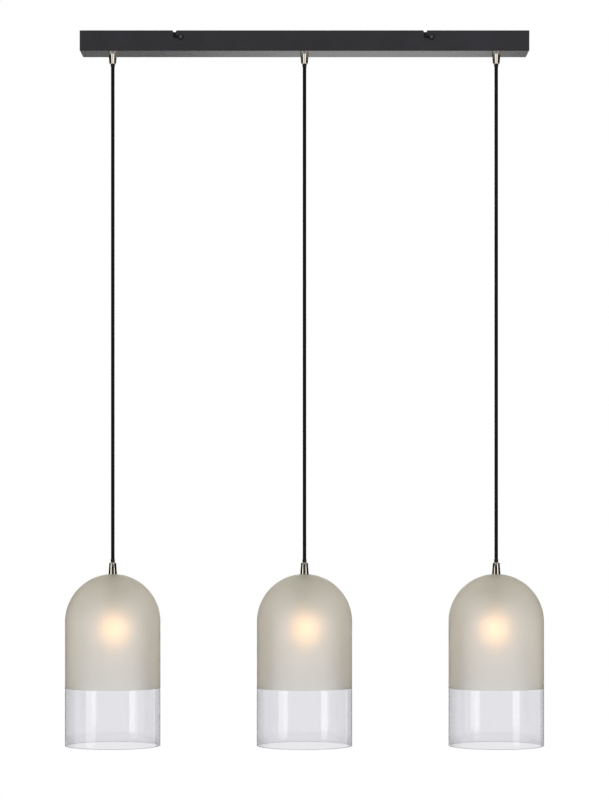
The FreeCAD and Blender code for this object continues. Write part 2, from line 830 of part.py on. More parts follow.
def roundedPath(points, radii):
    # straight runs joined by tangent arcs, one radius for each inner point
    edges = []
    start = points[0]
    for number, radius in enumerate(radii, start=1):
        before = (points[number - 1] - points[number]).normalize()
        after = (points[number + 1] - points[number]).normalize()
        turn = math.pi - before.getAngle(after)
        reach = radius * math.tan(turn / 2)
        first = points[number] + before * reach
        last = points[number] + after * reach
        inward = (before + after).normalize()
        middle = points[number] + inward * (radius / math.cos(turn / 2) - radius)
        edges.append(Part.LineSegment(start, first).toShape())
        edges.append(Part.Arc(first, middle, last).toShape())
        start = last
    edges.append(Part.LineSegment(start, points[-1]).toShape())
    return Part.Wire(edges)


def makeLead(side, entryAcross, entryAlong):
    # the cord's inner cable, from the ferrule up through the threaded tube and over to the block
    direction = Vector(value(entryAcross) - value(pendants[side]), value(entryAlong), 0)
    reach = direction.Length
    direction.normalize()
    reach -= value(s("leadOuter / 2")) * abs(direction.y)
    origin = Vector(value(pendants[side]), 0, 0)
    low = value(canopyFloor) + value(s("leadLevel"))
    high = value(upperNippleTop) + value(s("leadRise")) + value(s("leadOuter"))
    topRun = value(s("leadTopRun"))
    drop = value(s("leadDrop"))
    up = Vector(0, 0, 1)
    points = [
        origin + up * value(leadBottom),
        origin + up * high,
        origin + direction * topRun + up * high,
        origin + direction * (topRun + drop) + up * low,
        origin + direction * reach + up * low,
    ]
    bend = value(s("leadBend"))
    path = roundedPath(points, [bend, bend, bend])
    radius = value(s("leadOuter")) / 2
    section = Part.Wire([Part.Circle(points[0], up, radius).toShape()])
    shape = path.makePipeShell([section], True, False)
    expected = math.pi * radius ** 2 * path.Length
    print("inner_lead_%s: volume %.1f, section x length %.1f" % (side, shape.Volume, expected))
    lead = doc.addObject("Part::Feature", "inner_lead_" + side)
    lead.Label = "inner_lead_" + side
    lead.Shape = shape
    return lead


def makePendant(side, across):
    bore = s("threadOuter + snugGap")
    return [
        makeUpperFerrule(side, across),
        makeGrip(side, across),
        makeCord(side, across),
        makeLowerCollar(side, across),
        makeLowerFerrule(side, across),
        ring("lower_nipple_" + side, s("threadOuter"), s("threadBore"),
             lowerNippleBottom, collarBottom, across),
        makeShade(side, across),
        ring("shade_seal_" + side, s("sealOuter"), bore, sealBottom, innerCrown, across),
        ring("clamp_washer_" + side, s("clampWasherOuter"), bore, clampBottom, sealBottom, across),
        hexNut("shade_nut_" + side, s("nutFlats"), bore, nutBottom, s("nutThick"), across),
        makeHolderCap(side, across),
        makeHolderBody(side, across),
        makeHolderContacts(side, across),
        makeBulbCap(side, across),
        makeBulbGlobe(side, across),
    ]


parts = [makeBracket(), makeSideScrews(), makeCanopy(), makeTerminalBlock(), makeTerminalScrews()]
parts += makeStudFasteners()
parts += makeCanopyFasteners()
for side, across in pendants.items():
    parts += makePendant(side, across)
parts.append(makeLead("left", s("blockStart"), s("-poleSpacing")))
parts.append(makeLead("middle", s("blockStart"), "0"))
parts.append(makeLead("right", s("blockStart + blockLength"), "0"))
doc.recompute()

for thing in doc.Objects:
    if "Invalid" in thing.State or "Error" in thing.State:
        raise RuntimeError("%s is %s" % (thing.Label, thing.State))

os.makedirs("parts", exist_ok=True)
for part in parts:
    shape = part.Shape
    if shape.isNull() or not shape.isValid() or not shape.Solids:
        raise RuntimeError(part.Label + " has no valid solid")
    shape.exportStep(os.path.join("parts", part.Label + ".step"))
    print("%-24s %d solid(s), %.1f mm3" % (part.Label, len(shape.Solids), shape.Volume))
print("%d nodes" % len(parts))
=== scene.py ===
import json
import math

import bpy
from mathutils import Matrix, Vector


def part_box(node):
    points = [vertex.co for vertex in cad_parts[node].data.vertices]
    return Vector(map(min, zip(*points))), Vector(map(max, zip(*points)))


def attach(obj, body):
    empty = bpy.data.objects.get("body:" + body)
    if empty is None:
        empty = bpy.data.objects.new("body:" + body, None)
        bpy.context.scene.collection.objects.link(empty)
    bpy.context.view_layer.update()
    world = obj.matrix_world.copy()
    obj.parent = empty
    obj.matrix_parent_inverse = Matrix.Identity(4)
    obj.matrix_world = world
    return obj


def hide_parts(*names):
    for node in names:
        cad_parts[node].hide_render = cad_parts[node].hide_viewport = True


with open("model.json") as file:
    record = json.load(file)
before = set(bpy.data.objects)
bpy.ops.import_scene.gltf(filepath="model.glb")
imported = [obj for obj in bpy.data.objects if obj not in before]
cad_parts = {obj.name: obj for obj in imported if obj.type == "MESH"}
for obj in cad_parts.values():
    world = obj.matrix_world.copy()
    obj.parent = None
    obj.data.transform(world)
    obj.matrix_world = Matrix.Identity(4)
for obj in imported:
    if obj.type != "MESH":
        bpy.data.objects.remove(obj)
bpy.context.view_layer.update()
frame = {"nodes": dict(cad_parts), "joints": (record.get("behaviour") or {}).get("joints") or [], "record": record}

# Linear island pendant: canopy bar, three textile cords, three lit glass bells.
# Everything is in metres. +Z is up, the ceiling is z = 0 and the viewer stands on the -Y side.

nodes = frame["nodes"]
sides = ["left", "middle", "right"]
across = {side: (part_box("cord_" + side)[0].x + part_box("cord_" + side)[1].x) / 2 for side in sides}
print("frame loaded:", len(nodes), "nodes")


camera = {"eye": (0.0, -4.703, -0.7835), "focal": 126.0, "sensor": 36.0, "shiftUp": 0.125, "reach": 60}


def placeCamera():
    # level, so the cords stay parallel; the shift brings the bar back into the picture
    bpy.ops.object.camera_add(location=camera["eye"], rotation=(math.pi / 2, 0, 0))
    eye = bpy.context.object
    eye.name = "photoCamera"
    eye.data.lens = camera["focal"]
    eye.data.sensor_width = camera["sensor"]
    eye.data.shift_y = camera["shiftUp"]
    eye.data.clip_end = camera["reach"]
    bpy.context.scene.camera = eye


placeCamera()
print("camera placed")


# helpers for colours and material nodes

def linear(hexColour):
    # an sRGB hex colour as the linear values that the shader wants
    channels = [int(hexColour[i:i + 2], 16) / 255 for i in (1, 3, 5)]
    return [c / 12.92 if c <= 0.04045 else ((c + 0.055) / 1.055) ** 2.4 for c in channels] + [1.0]


def addNode(tree, kind, inputs={}, **settings):
    node = tree.nodes.new(kind)
    for name, wanted in settings.items():
        setattr(node, name, wanted)
    for socket, wanted in inputs.items():
        if isinstance(wanted, bpy.types.NodeSocket):
            tree.links.new(wanted, node.inputs[socket])
        else:
            node.inputs[socket].default_value = wanted
    return node


def newFinish(name, settings):
    # a material with one Principled shader, whose even values sit on its own sockets
    finish = bpy.data.materials.new(name)
    finish.use_nodes = True
    tree = finish.node_tree
    shader = tree.nodes["Principled BSDF"]
    for socket, wanted in settings.items():
        shader.inputs[socket].default_value = wanted
    return finish, tree, shader


def millimetres(size):
    # the scale at which a texture's features are about this many millimetres
    return 1000 / size


def patch(tree, size, detail=2.0, stretch=(1, 1, 1)):
    # noise on Object coordinates, with features of about that size in millimetres
    place = addNode(tree, "ShaderNodeTexCoord").outputs["Object"]
    if stretch != (1, 1, 1):
        place = addNode(tree, "ShaderNodeMapping", {"Vector": place, "Scale": stretch}).outputs["Vector"]
    return addNode(tree, "ShaderNodeTexNoise",
                   {"Vector": place, "Scale": millimetres(size), "Detail": detail}).outputs["Fac"]


def spread(tree, fac, low, high):
    # noise stays near the middle of its range, so its middle part alone is spread over the values
    ends = {"Value": fac, "From Min": 0.3, "From Max": 0.7, "To Min": low, "To Max": high}
    return addNode(tree, "ShaderNodeMapRange", ends).outputs["Result"]


def between(tree, fac, first, second):
    mixer = addNode(tree, "ShaderNodeMix", data_type="RGBA")
    tree.links.new(fac, mixer.inputs["Factor"])
    mixer.inputs["A"].default_value = linear(first)
    mixer.inputs["B"].default_value = linear(second)
    return mixer.outputs["Result"]


def byLevel(tree, bottom, top, first, second):
    # a colour that runs from one height to another
    place = addNode(tree, "ShaderNodeTexCoord").outputs["Object"]
    level = addNode(tree, "ShaderNodeSeparateXYZ", {"Vector": place}).outputs["Z"]
    share = addNode(tree, "ShaderNodeMapRange", {"Value": level, "From Min": bottom, "From Max": top,
                                                 "To Min": 0.0, "To Max": 1.0}).outputs["Result"]
    return between(tree, share, first, second)


def deepened(tree, colour, deepest):
    # a glass wall seen on a slant is crossed at length, so its colour deepens towards the sides
    slant = addNode(tree, "ShaderNodeLayerWeight", {"Blend": 0.25}).outputs["Facing"]
    tint = addNode(tree, "ShaderNodeMix", data_type="RGBA", blend_type="MULTIPLY")
    tree.links.new(slant, tint.inputs["Factor"])
    tree.links.new(colour, tint.inputs["A"])
    tint.inputs["B"].default_value = linear(deepest)
    return tint.outputs["Result"]


def link(tree, source, shader, socket):
    tree.links.new(source, shader.inputs[socket])


def relief(tree, shader, height, depth):
    # depth is in millimetres
    bump = addNode(tree, "ShaderNodeBump", {"Height": height, "Distance": depth / 1000, "Strength": 1.0})
    link(tree, bump.outputs["Normal"], shader, "Normal")


def mottle(tree, shader, size, first, second, detail=2.0):
    # the colour wanders between two close ones
    share = spread(tree, patch(tree, size, detail), 0, 1)
    link(tree, between(tree, share, first, second), shader, "Base Color")


def dull(tree, shader, size, low, high, detail=2.0, stretch=(1, 1, 1)):
    # the roughness wanders between two values
    link(tree, spread(tree, patch(tree, size, detail, stretch), low, high), shader, "Roughness")


# one material for each real finish

def powderCoatedSteel():
    # sprayed and baked satin powder: a soft sheen broken up by a fine orange peel
    finish, tree, shader = newFinish("powderCoatedSteel", {"IOR": 1.5, "Specular IOR Level": 0.207})
    mottle(tree, shader, 45, "#262529", "#2c2b30")
    dull(tree, shader, 7, 0.26, 0.3, 3)
    relief(tree, shader, patch(tree, 1.6), 0.002)
    return finish


def passivatedSteel():
    # pressed strip, zinc plated and blackened: cloudy, with the drawing marks left in it
    finish, tree, shader = newFinish("passivatedSteel", {"Metallic": 1.0})
    mottle(tree, shader, 18, "#1a1b1e", "#242528", 4)
    dull(tree, shader, 6, 0.36, 0.52, 3, (0.1, 1, 1))
    relief(tree, shader, patch(tree, 0.8, 2, (0.05, 1, 1)), 0.01)
    return finish


def blackOxideSteel():
    # turned and blackened screw heads: dark, with an oily sheen
    finish, tree, shader = newFinish("blackOxideSteel", {"Specular IOR Level": 0.25})
    mottle(tree, shader, 3, "#08080a", "#0e0e11")
    dull(tree, shader, 1.2, 0.28, 0.4)
    relief(tree, shader, patch(tree, 0.5), 0.008)
    return finish


def wornHighlightSteel():
    # the middle of the screw heads: lighter bare steel, partly blacking rubbed off by the driver, partly a painted
    # highlight
    finish, tree, shader = newFinish("wornHighlightSteel", {"Metallic": 1.0})
    mottle(tree, shader, 1.5, "#5c5c63", "#7c7c84")
    dull(tree, shader, 0.6, 0.35, 0.55)
    relief(tree, shader, patch(tree, 0.3), 0.01)
    return finish


def zincPlatedSteel():
    # bright zinc on turned parts: bluish, with a faint yellow cast in places
    finish, tree, shader = newFinish("zincPlatedSteel", {"Metallic": 1.0})
    mottle(tree, shader, 5, "#b4b8bd", "#c6c3b4", 3)
    dull(tree, shader, 2, 0.24, 0.38)
    relief(tree, shader, patch(tree, 0.35, 1, (0.1, 0.1, 1)), 0.006)
    return finish


def polishedNickel():
    # turned brass, polished and nickel plated: warm grey mirror with faint lathe rings
    finish, tree, shader = newFinish("polishedNickel", {"Metallic": 1.0})
    mottle(tree, shader, 6, "#ebe4d6", "#f3ede1")
    dull(tree, shader, 2.5, 0.05, 0.09)
    relief(tree, shader, patch(tree, 0.3, 1, (0.03, 0.03, 1)), 0.002)
    return finish


def mouldedNylon():
    # black moulded nylon: spark-eroded texture, dull sheen
    finish, tree, shader = newFinish("mouldedNylon", {"Specular IOR Level": 0.25})
    mottle(tree, shader, 4, "#0d0d0e", "#141415")
    dull(tree, shader, 1, 0.42, 0.55)
    relief(tree, shader, patch(tree, 0.35), 0.012)
    return finish


braid = {"ends": 12, "twist": 4000}  # threads each way, and their twist in radians per metre


def braidedRayon(side):
    # two sets of rayon threads wound opposite ways round the cable: silky diamonds. They lie 1.6 mm
    # apart, coarser than the real ones, so that the weave shows
    finish, tree, shader = newFinish("braidedRayon_" + side, {
        "Specular IOR Level": 0.12, "Sheen Weight": 0.04, "Sheen Roughness": 0.4})
    place = addNode(tree, "ShaderNodeTexCoord").outputs["Object"]
    centred = addNode(tree, "ShaderNodeMapping", {"Vector": place, "Location": (-across[side], 0, 0)})
    parts = addNode(tree, "ShaderNodeSeparateXYZ", {"Vector": centred.outputs["Vector"]})
    angle = addNode(tree, "ShaderNodeMath", {0: parts.outputs["Y"], 1: parts.outputs["X"]},
                    operation="ARCTAN2")
    around = addNode(tree, "ShaderNodeMath", {0: angle.outputs[0], 1: float(braid["ends"])},
                     operation="MULTIPLY")
    waves = []
    for way in (braid["twist"], -braid["twist"]):
        lead = addNode(tree, "ShaderNodeMath", {0: parts.outputs["Z"], 1: float(way), 2: around.outputs[0]},
                       operation="MULTIPLY_ADD")
        waves.append(addNode(tree, "ShaderNodeMath", {0: lead.outputs[0]}, operation="SINE").outputs[0])
    weave = addNode(tree, "ShaderNodeMath", {0: waves[0], 1: waves[1]}, operation="MAXIMUM").outputs[0]
    light = addNode(tree, "ShaderNodeMapRange",
                    {"Value": weave, "From Min": -1.0, "From Max": 1.0}).outputs["Result"]
    # darker where the weave sinks: painted shade between the threads
    link(tree, between(tree, light, "#040405", "#0e0e10"), shader, "Base Color")
    dull(tree, shader, 1.5, 0.6, 0.8)
    relief(tree, shader, light, 0.12)
    return finish


def extrudedSheath():
    # extruded cable sheath: black, a little waxy
    finish, tree, shader = newFinish("extrudedSheath", {"IOR": 1.52})
    mottle(tree, shader, 8, "#111112", "#191919")
    dull(tree, shader, 3, 0.38, 0.5, 2, (0.2, 1, 1))
    relief(tree, shader, patch(tree, 1.4), 0.01)
    return finish


def mouldedPolyamide():
    # natural moulded polyamide: milky, with soft flow clouds
    finish, tree, shader = newFinish("mouldedPolyamide", {"IOR": 1.53})
    mottle(tree, shader, 9, "#dcdbd2", "#e8e7e0", 3)
    dull(tree, shader, 2, 0.35, 0.48)
    relief(tree, shader, patch(tree, 0.6), 0.01)
    return finish


bellGlass = {"greyLow": 0.012, "greyHigh": 0.02,  # above the rim: where the greyer part ends, softly
             "olive": 0.075}  # below the crown: where the olive cast and painted shade begin


def blownClearGlass():
    # clear soda-lime glass, blown into a turning mould: long, very shallow ripples, and a wall that
    # thickens and greys a little next to the fired rim
    finish, tree, shader = newFinish("blownClearGlass", {
        "Roughness": 0.02, "IOR": 1.5, "Transmission Weight": 1.0})
    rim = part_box("shade_middle")[0].z
    tint = byLevel(tree, rim + bellGlass["greyLow"], rim + bellGlass["greyHigh"], "#e8e8eb", "#f0f0f2")
    link(tree, deepened(tree, tint, "#e3e3e6"), shader, "Base Color")
    relief(tree, shader, patch(tree, 26, 1), 0.02)
    return finish


def firePolishedRim():
    # the cut edge, melted round: light runs along inside the wall to it, so it looks greyer
    finish, tree, shader = newFinish("firePolishedRim", {
        "Base Color": linear("#c0c2c6"), "Roughness": 0.03, "IOR": 1.5, "Transmission Weight": 1.0})
    relief(tree, shader, patch(tree, 9, 1), 0.015)
    return finish


glow = {"colour": "#ffc48f", "near": 2.36, "far": 1.08, "edge": 0.005,  # two strengths, with a soft step
        # neck: strength of the painted glow on the bulb's plastic neck
        "neck": 0.55, "paintedSkinGlowColour": "#ffe6cc", "paintedSkinGlow": 0.024,
        "paintedSkinGlowNear": 0.07, "paintedSkinGlowFar": 0.14,  # between these distances the painted glow on the etched glass dies away
        "shift": {"left": 0.0058, "middle": 0.0045, "right": -0.004}}


def fromSpot(tree, side):
    # the distance from the bulb's light source, which sits a little to one side of its axis
    low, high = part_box("bulb_globe_" + side)
    spot = (across[side] + glow["shift"][side], 0, low.z + (high.x - low.x) / 2)
    place = addNode(tree, "ShaderNodeTexCoord").outputs["Object"]
    return addNode(tree, "ShaderNodeVectorMath", {0: place, 1: spot}, operation="DISTANCE").outputs["Value"]


def acidEtchedGlass(side):
    # the same glass, etched and tinted by dipping: a satin surface that spreads the lamp's light and keeps
    # soft highlights, a little darker and more olive towards the crown, the darkening being painted shade.
    # Next to the bulb the etched surface carries a faint painted glow: emission that stands in for the lamp's
    # light scattered sideways
    finish, tree, shader = newFinish("acidEtchedGlass_" + side, {
        "Roughness": 0.78, "IOR": 1.5, "Transmission Weight": 1.0, "Coat Weight": 0.45, "Coat Roughness": 0.3,
        "Emission Color": linear(glow["paintedSkinGlowColour"])})
    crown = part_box("shade_" + side)[1].z
    # towards the crown the tint is darker and more olive: painted shade over the dome
    tint = byLevel(tree, crown - bellGlass["olive"], crown, "#f3f0e8", "#dad8c9")
    link(tree, deepened(tree, tint, "#d8d0bc"), shader, "Base Color")
    # painted glow: emission on the etched glass, strongest next to the bulb's light source
    paintedSkinGlow = addNode(tree, "ShaderNodeMapRange", {
        "Value": fromSpot(tree, side), "From Min": glow["paintedSkinGlowNear"], "From Max": glow["paintedSkinGlowFar"],
        "To Min": glow["paintedSkinGlow"], "To Max": 0.0})
    link(tree, paintedSkinGlow.outputs["Result"], shader, "Emission Strength")
    relief(tree, shader, patch(tree, 0.9, 2), 0.01)
    return finish


def mouldedSilicone():
    # translucent silicone washer: cloudy and slightly sticky-looking
    finish, tree, shader = newFinish("mouldedSilicone", {"IOR": 1.43, "Subsurface Weight": 0.4,
                                                         "Subsurface Scale": 0.002})
    mottle(tree, shader, 3, "#cfcfca", "#dcdcd8")
    dull(tree, shader, 1.5, 0.42, 0.55)
    relief(tree, shader, patch(tree, 0.5), 0.006)
    return finish


def mouldedThermoset():
    # heat-proof lampholder plastic, pressed in a mould: ivory white, low gloss, faint mottling
    finish, tree, shader = newFinish("mouldedThermoset", {"IOR": 1.55})
    mottle(tree, shader, 5, "#e2dfd6", "#ebe9e1", 3)
    dull(tree, shader, 1.6, 0.3, 0.42)
    relief(tree, shader, patch(tree, 0.5), 0.01)
    return finish


def pressedBrass():
    # thin drawn brass contact: yellow, with dull oxidised clouds
    finish, tree, shader = newFinish("pressedBrass", {"Metallic": 1.0})
    mottle(tree, shader, 4, "#b08d4a", "#c9a662", 3)
    dull(tree, shader, 2, 0.25, 0.42)
    relief(tree, shader, patch(tree, 0.4), 0.006)
    return finish


def rolledAluminium():
    # the bulb's cap, spun and rolled from thin aluminium
    finish, tree, shader = newFinish("rolledAluminium", {"Metallic": 1.0})
    mottle(tree, shader, 4, "#c4c5c7", "#d2d2d2", 3)
    dull(tree, shader, 1.5, 0.28, 0.4, 2, (0.1, 0.1, 1))
    relief(tree, shader, patch(tree, 0.4, 1, (0.1, 0.1, 1)), 0.006)
    return finish


def opalGlass(side):
    # opal-coated bulb glass, lit from inside: a warm glow, strongest next to the light source
    finish, tree, shader = newFinish("opalGlass_" + side, {
        "Roughness": 0.3, "IOR": 1.5, "Emission Color": linear(glow["colour"])})
    low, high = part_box("bulb_globe_" + side)
    radius = (high.x - low.x) / 2
    light = addNode(tree, "ShaderNodeMapRange", {
        "Value": fromSpot(tree, side), "From Min": radius - glow["edge"], "From Max": radius + glow["edge"],
        "To Min": glow["near"], "To Max": glow["far"]})
    link(tree, light.outputs["Result"], shader, "Emission Strength")
    mottle(tree, shader, 12, "#f2ead9", "#f8f2e4")
    relief(tree, shader, patch(tree, 3), 0.01)
    return finish


def mouldedHousing():
    # the bulb's neck: white moulded plastic over its electronics, satin, with a faint painted glow, as of light
    # leaking through
    finish, tree, shader = newFinish("mouldedHousing", {
        "IOR": 1.5, "Emission Color": linear(glow["colour"]), "Emission Strength": glow["neck"]})
    mottle(tree, shader, 6, "#e6e4de", "#efede8")
    dull(tree, shader, 1.5, 0.36, 0.46)
    relief(tree, shader, patch(tree, 0.6), 0.006)
    return finish


clearGlass = blownClearGlass()
rimGlass = firePolishedRim()
wornHighlightFinish = wornHighlightSteel()
bulbHousing = mouldedHousing()
etchedGlass = {side: acidEtchedGlass(side) for side in sides}
cordFinish = {side: braidedRayon(side) for side in sides}
opalFinish = {side: opalGlass(side) for side in sides}
finishes = {
    "canopy_paint": powderCoatedSteel(),
    "bracket_steel": passivatedSteel(),
    "screw_black": blackOxideSteel(),
    "zinc_steel": zincPlatedSteel(),
    "ferrule_brass": polishedNickel(),
    "grip_nylon": mouldedNylon(),
    "lead_sheath": extrudedSheath(),
    "terminal_nylon": mouldedPolyamide(),
    "shade_glass": clearGlass,
    "seal_silicone": mouldedSilicone(),
    "holder_plastic": mouldedThermoset(),
    "contact_brass": pressedBrass(),
    "bulb_cap_aluminium": rolledAluminium(),
    "bulb_opal": opalFinish["middle"],
    "cord_textile": cordFinish["middle"],
}
slotOf = {part["node"]: part["material_slot"] for part in frame["record"]["subparts"]}
for name, node in nodes.items():
    for place in node.material_slots:
        place.material = finishes[slotOf[name]]
print("materials made")


cordSizes = {"thick": 0.006, "straightStart": 6, "roundness": 8}  # the second is in diameters


def hangCord(side):
    # taut from the grip to the lampholder's cap, with its ends held straight
    low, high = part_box("cord_" + side)
    start = cordSizes["thick"] * cordSizes["straightStart"]
    levels = [high.z, high.z - start, low.z + start, low.z]
    curve = bpy.data.curves.new("textileCord_" + side, "CURVE")
    curve.dimensions = "3D"
    line = curve.splines.new("NURBS")
    line.points.add(len(levels) - 1)
    for point, level in zip(line.points, levels):
        point.co = (across[side], 0, level, 1)
    line.order_u = 3
    line.use_endpoint_u = True
    curve.bevel_depth = cordSizes["thick"] / 2
    curve.bevel_resolution = cordSizes["roundness"]
    curve.use_fill_caps = True
    curve.materials.append(cordFinish[side])
    cord = bpy.data.objects.new("textileCord_" + side, curve)
    bpy.context.scene.collection.objects.link(cord)
    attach(cord, "pendant_" + side)
    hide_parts("cord_" + side)


for side in sides:
    hangCord(side)
print("cords hung")


# turned, moulded and blown pieces, each in place of its plain one

turning = {"onAxis": 0.00001, "weld": 0.00002, "smoothBelow": 35}  # the last one in degrees


def turnRings(name, centre, rings, segments):
    # starts with one ring of points and pulls it along the outline, ring by ring
    bpy.ops.object.select_all(action="DESELECT")
    radius, level = rings[0]
    bpy.ops.mesh.primitive_circle_add(vertices=segments, radius=radius, location=(centre, 0, level))
    piece = bpy.context.object
    piece.name = piece.data.name = name
    bpy.ops.object.mode_set(mode="EDIT")
    for newRadius, newLevel in rings[1:]:
        bpy.ops.mesh.extrude_edges_move(TRANSFORM_OT_translate={"value": (0, 0, newLevel - level)})
        grow = newRadius / radius
        bpy.ops.transform.resize(value=(grow, grow, 1), center_override=(centre, 0, newLevel))
        radius, level = newRadius, newLevel
    bpy.ops.mesh.select_all(action="SELECT")
    bpy.ops.mesh.remove_doubles(threshold=turning["weld"])
    bpy.ops.mesh.normals_make_consistent(inside=False)
    bpy.ops.object.mode_set(mode="OBJECT")
    return piece


def settle(piece, body, node, finish):
    # brings the origin to the frame's, then hands the piece to its body in place of the node
    bpy.ops.object.select_all(action="DESELECT")
    piece.select_set(True)
    bpy.context.view_layer.objects.active = piece
    bpy.ops.object.transform_apply(location=True, rotation=True, scale=True)
    bpy.ops.object.shade_smooth_by_angle(angle=math.radians(turning["smoothBelow"]))
    if not piece.data.materials:
        piece.data.materials.append(finish)
    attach(piece, body)
    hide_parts(node)


def arc(centre, radius, start, end, steps):
    # points (r, z) of an arc round centre (r, z); angles in degrees from the horizontal
    turns = [math.radians(start + (end - start) * i / steps) for i in range(steps + 1)]
    return [(centre[0] + radius * math.cos(a), centre[1] + radius * math.sin(a)) for a in turns]


# heights of the hinges, from the joints themselves
pivotLevel = {joint["name"]: joint["pos_m"][2] for joint in frame["joints"] if joint["type"] == "hinge"}

screw = {"head": 0.0095, "headHigh": 0.0028, "edgeHigh": 0.0007, "headEdge": 0.0002, "domeTurn": 8,
         "shank": 0.004, "long": 0.008, "shankEdge": 0.0003, "wornHighlight": 0.0037, "recess": 0.0043,
         "recessWide": 0.001, "recessDeep": 0.0014, "recessTaper": 0.45, "segments": 48}


def cutRecess(piece, level):
    # two tapered wings, crossed
    size = screw
    for span in ((size["recess"], size["recessWide"]), (size["recessWide"], size["recess"])):
        bpy.ops.object.select_all(action="DESELECT")
        bpy.ops.mesh.primitive_cube_add(size=1, location=(0, 0, level),
                                        scale=(*span, 2 * size["recessDeep"]))
        wing = bpy.context.object
        bpy.ops.object.mode_set(mode="EDIT")
        bpy.ops.mesh.select_mode(type="VERT")
        bpy.ops.mesh.select_all(action="DESELECT")
        bpy.ops.object.mode_set(mode="OBJECT")
        for point in wing.data.vertices:
            point.select = point.co.z < 0
        bpy.ops.object.mode_set(mode="EDIT")
        taper = size["recessTaper"]
        bpy.ops.transform.resize(value=(taper, taper, 1), center_override=(0, 0, level))
        bpy.ops.object.mode_set(mode="OBJECT")
        cut = piece.modifiers.new("recess", "BOOLEAN")
        cut.operation = "DIFFERENCE"
        cut.solver = "EXACT"
        cut.object = wing
        bpy.ops.object.select_all(action="DESELECT")
        bpy.context.view_layer.objects.active = piece
        bpy.ops.object.modifier_apply(modifier="recess")
        bpy.data.objects.remove(wing)


def headScrews():
    # four cold-headed screws: a domed black head whose middle is lighter, partly rubbed bright by the driver and
    # partly a painted highlight
    size = screw
    low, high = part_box("side_screws")
    head, shank, wornHighlight = size["head"] / 2, size["shank"] / 2, size["wornHighlight"] / 2
    seat, top = size["long"], size["long"] + size["headHigh"]
    dome = size["headHigh"] - size["edgeHigh"]
    turns = sorted([*range(0, 90, size["domeTurn"]), math.degrees(math.acos(wornHighlight / head))])
    rings = [(turning["onAxis"], 0), (shank - size["shankEdge"], 0), (shank, size["shankEdge"]),
             (shank, seat), (head - size["headEdge"], seat), (head, seat + size["headEdge"])]
    rings += [(head * math.cos(math.radians(a)), seat + size["edgeHigh"] + dome * math.sin(math.radians(a)))
              for a in turns]
    rings.append((turning["onAxis"], top))
    piece = turnRings("crossScrews", 0, rings, size["segments"])
    cutRecess(piece, top)
    piece.data.materials.append(finishes["screw_black"])
    piece.data.materials.append(wornHighlightFinish)
    # the lighter middle of each head is wear and a painted highlight
    for face in piece.data.polygons:
        inside = math.hypot(face.center.x, face.center.y) < wornHighlight
        face.material_index = int(inside and face.center.z > seat + size["edgeHigh"])
    level, reach = (low.z + high.z) / 2, high.y - top
    copies = []
    for place in (low.x + head, high.x - head):
        for way in (1, -1):  # 1 looks to the front
            copy = piece.copy()
            copy.data = piece.data.copy()
            bpy.context.scene.collection.objects.link(copy)
            copy.rotation_euler = (math.radians(90 * way), 0, 0)
            copy.location = (place, -way * reach, level)
            copies.append(copy)
    bpy.data.objects.remove(piece)
    bpy.ops.object.select_all(action="DESELECT")
    for copy in copies:
        copy.select_set(True)
    bpy.context.view_layer.objects.active = copies[0]
    bpy.ops.object.join()
    copies[0].name = copies[0].data.name = "crossScrews"
    settle(copies[0], "bracket", "side_screws", finishes["screw_black"])


upperFerrule = {"waist": 0.0132, "waistDrop": 0.0075, "mouth": 0.0116, "mouthRound": 0.0005,
                "mouthBore": 0.0095, "seat": 0.0052, "seatTop": 0.00905, "threadHole": 0.0101,
                "edge": 0.0002, "roundSteps": 8, "segments": 96}


def turnUpperFerrule(side):
    # tapered cup under the bar, with the ball seat inside and a rounded lip
    size = upperFerrule
    low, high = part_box("upper_ferrule_" + side)
    top, mouth, outer = high.z, low.z, (high.x - low.x) / 2
    lip, bore, seat = size["mouth"] / 2 - size["mouthRound"], size["mouthBore"] / 2, size["seat"]
    pivot = pivotLevel["fore_aft_swing_" + side]
    seatEdge = math.degrees(math.acos(bore / seat))
    rings = [(size["threadHole"] / 2, top), (outer - size["edge"], top), (outer, top - size["edge"]),
             (size["waist"] / 2, top - size["waistDrop"])]
    rings += arc((lip, mouth + size["mouthRound"]), size["mouthRound"], 0, -90, size["roundSteps"])
    rings += [(bore, mouth)] + arc((0, pivot), seat, -seatEdge, 0, size["roundSteps"])
    rings += [(seat, top - size["seatTop"]), (size["threadHole"] / 2, top - size["seatTop"]), rings[0]]
    piece = turnRings("polishedFerruleTop_" + side, across[side], rings, size["segments"])
    settle(piece, "canopy", "upper_ferrule_" + side, finishes["ferrule_brass"])


lowerFerrule = {"mouth": 0.0118, "mouthRound": 0.00045, "neck": 0.0072, "shoulderDrop": 0.0042,
                "threadHole": 0.0101, "edge": 0.0002, "roundSteps": 6, "segments": 96}


def turnLowerFerrule(side):
    # the same fitting the other way up, standing on the glass
    size = lowerFerrule
    low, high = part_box("lower_ferrule_" + side)
    top, base, outer = high.z, low.z, (high.x - low.x) / 2
    lip, thread = size["mouth"] / 2 - size["mouthRound"], size["threadHole"] / 2
    rings = [(thread, base), (outer - size["edge"], base), (outer, base + size["edge"])]
    rings += arc((lip, top - size["mouthRound"]), size["mouthRound"], 0, 90, size["roundSteps"])
    rings += [(size["neck"] / 2, top), (size["neck"] / 2, top - size["shoulderDrop"]),
              (thread, top - size["shoulderDrop"]), rings[0]]
    piece = turnRings("polishedFerruleBase_" + side, across[side], rings, size["segments"])
    settle(piece, "pendant_" + side, "lower_ferrule_" + side, finishes["ferrule_brass"])


grip = {"ball": 0.00495, "snout": 0.0071, "bore": 0.0063, "edge": 0.0003, "edgeSteps": 4,
        "ballSteps": 18, "segments": 64}


